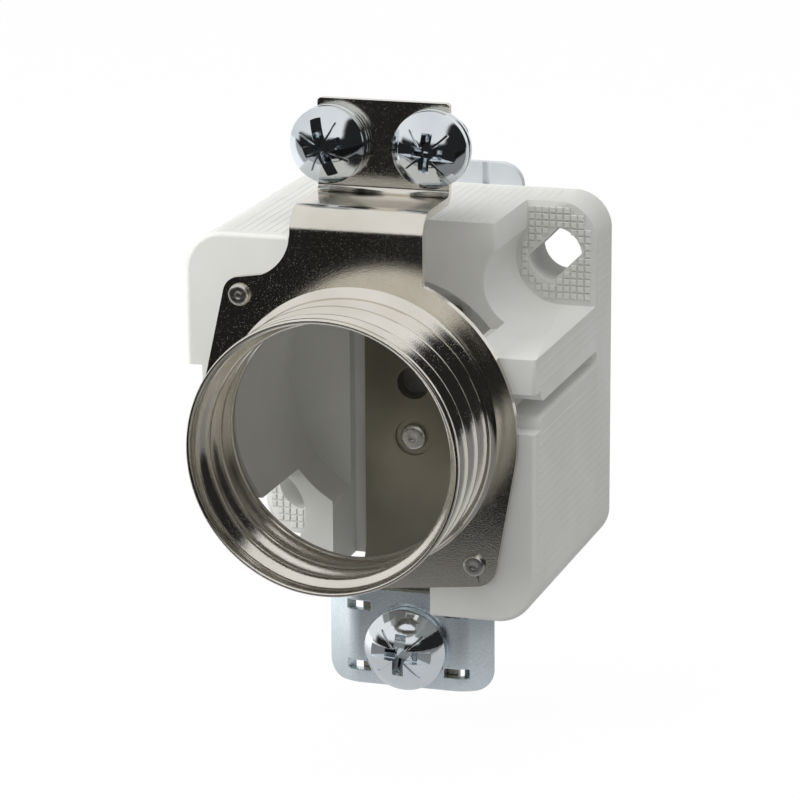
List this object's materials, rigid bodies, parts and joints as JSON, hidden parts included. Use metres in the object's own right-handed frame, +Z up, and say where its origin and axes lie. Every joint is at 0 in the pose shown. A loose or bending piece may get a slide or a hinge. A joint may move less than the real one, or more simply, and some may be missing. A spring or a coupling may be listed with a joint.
{
  "type": "din rail fuse base",
  "caption": "Single-pole screw-in fuse base with a ceramic body, a rolled threaded contact, terminal screws, a saddle clamp and a rail clip with a sprung latch.",
  "frame": {"origin": "on the fuse axis, in the plane where the rail's front face touches the clip", "axes": "+X to the right seen from the front, +Y into the rail and away from the fuse, +Z up, towards the terminal plate with the pair of screws"},
  "size_m": [0.045, 0.0561, 0.0792],
  "materials": {
    "ceramic": "matte, white, unglazed",
    "nickel_plated_sheet": "bright nickel plating with fine speckles",
    "zinc_plated_steel": "bluish bright zinc plating",
    "rivet_metal": "satin"
  },
  "bodies": {
    "fuse_base": {"ceramic_base": "ceramic", "thread_contact": "nickel_plated_sheet", "contact_rivet_upper": "rivet_metal", "contact_rivet_lower": "rivet_metal", "foot_contact": "nickel_plated_sheet", "foot_rivet_upper": "rivet_metal", "foot_rivet_lower": "rivet_metal", "rail_clip": "zinc_plated_steel", "latch_spring": "zinc_plated_steel"},
    "left_washer": {"terminal_washer_left": "zinc_plated_steel"},
    "left_screw": {"terminal_screw_left": "zinc_plated_steel"},
    "right_washer": {"terminal_washer_right": "zinc_plated_steel"},
    "right_screw": {"terminal_screw_right": "zinc_plated_steel"},
    "saddle": {"saddle_clamp": "zinc_plated_steel"},
    "saddle_bolt": {"saddle_screw": "zinc_plated_steel"},
    "latch": {"rail_latch": "zinc_plated_steel"}
  },
  "joints": [
    {"name": "left_washer_slide", "type": "slide", "parent": "fuse_base", "child": "left_washer", "axis": [0, -1, 0], "range_m": [0, 0.0035]},
    {"name": "left_screw_turn", "type": "hinge", "parent": "left_washer", "child": "left_screw", "pos_m": [-0.0066, -0.0286, 0.0335], "axis": [0, -1, 0], "range_deg": [0, 1576]},
    {"name": "right_washer_slide", "type": "slide", "parent": "fuse_base", "child": "right_washer", "axis": [0, -1, 0], "range_m": [0, 0.0035]},
    {"name": "right_screw_turn", "type": "hinge", "parent": "right_washer", "child": "right_screw", "pos_m": [0.0066, -0.0286, 0.0335], "axis": [0, -1, 0], "range_deg": [0, 1576]},
    {"name": "saddle_slide", "type": "slide", "parent": "fuse_base", "child": "saddle", "axis": [0, -1, 0], "range_m": [0, 0.005]},
    {"name": "saddle_screw_turn", "type": "hinge", "parent": "saddle", "child": "saddle_bolt", "pos_m": [0, -0.0187, -0.0347], "axis": [0, -1, 0], "range_deg": [0, 1801]},
    {"name": "latch_slide", "type": "slide", "parent": "fuse_base", "child": "latch", "axis": [0, 0, -1], "range_m": [0, 0.003], "stiffness_N_per_m": 800, "springref_m": -0.002, "deforming": ["latch_spring"]}
  ],
  "couplings": [
    {"joint": "left_screw_turn", "follows": "left_washer_slide", "rad_per_m": 7854},
    {"joint": "right_screw_turn", "follows": "right_washer_slide", "rad_per_m": 7854},
    {"joint": "saddle_screw_turn", "follows": "saddle_slide", "rad_per_m": 6283.2}
  ]
}
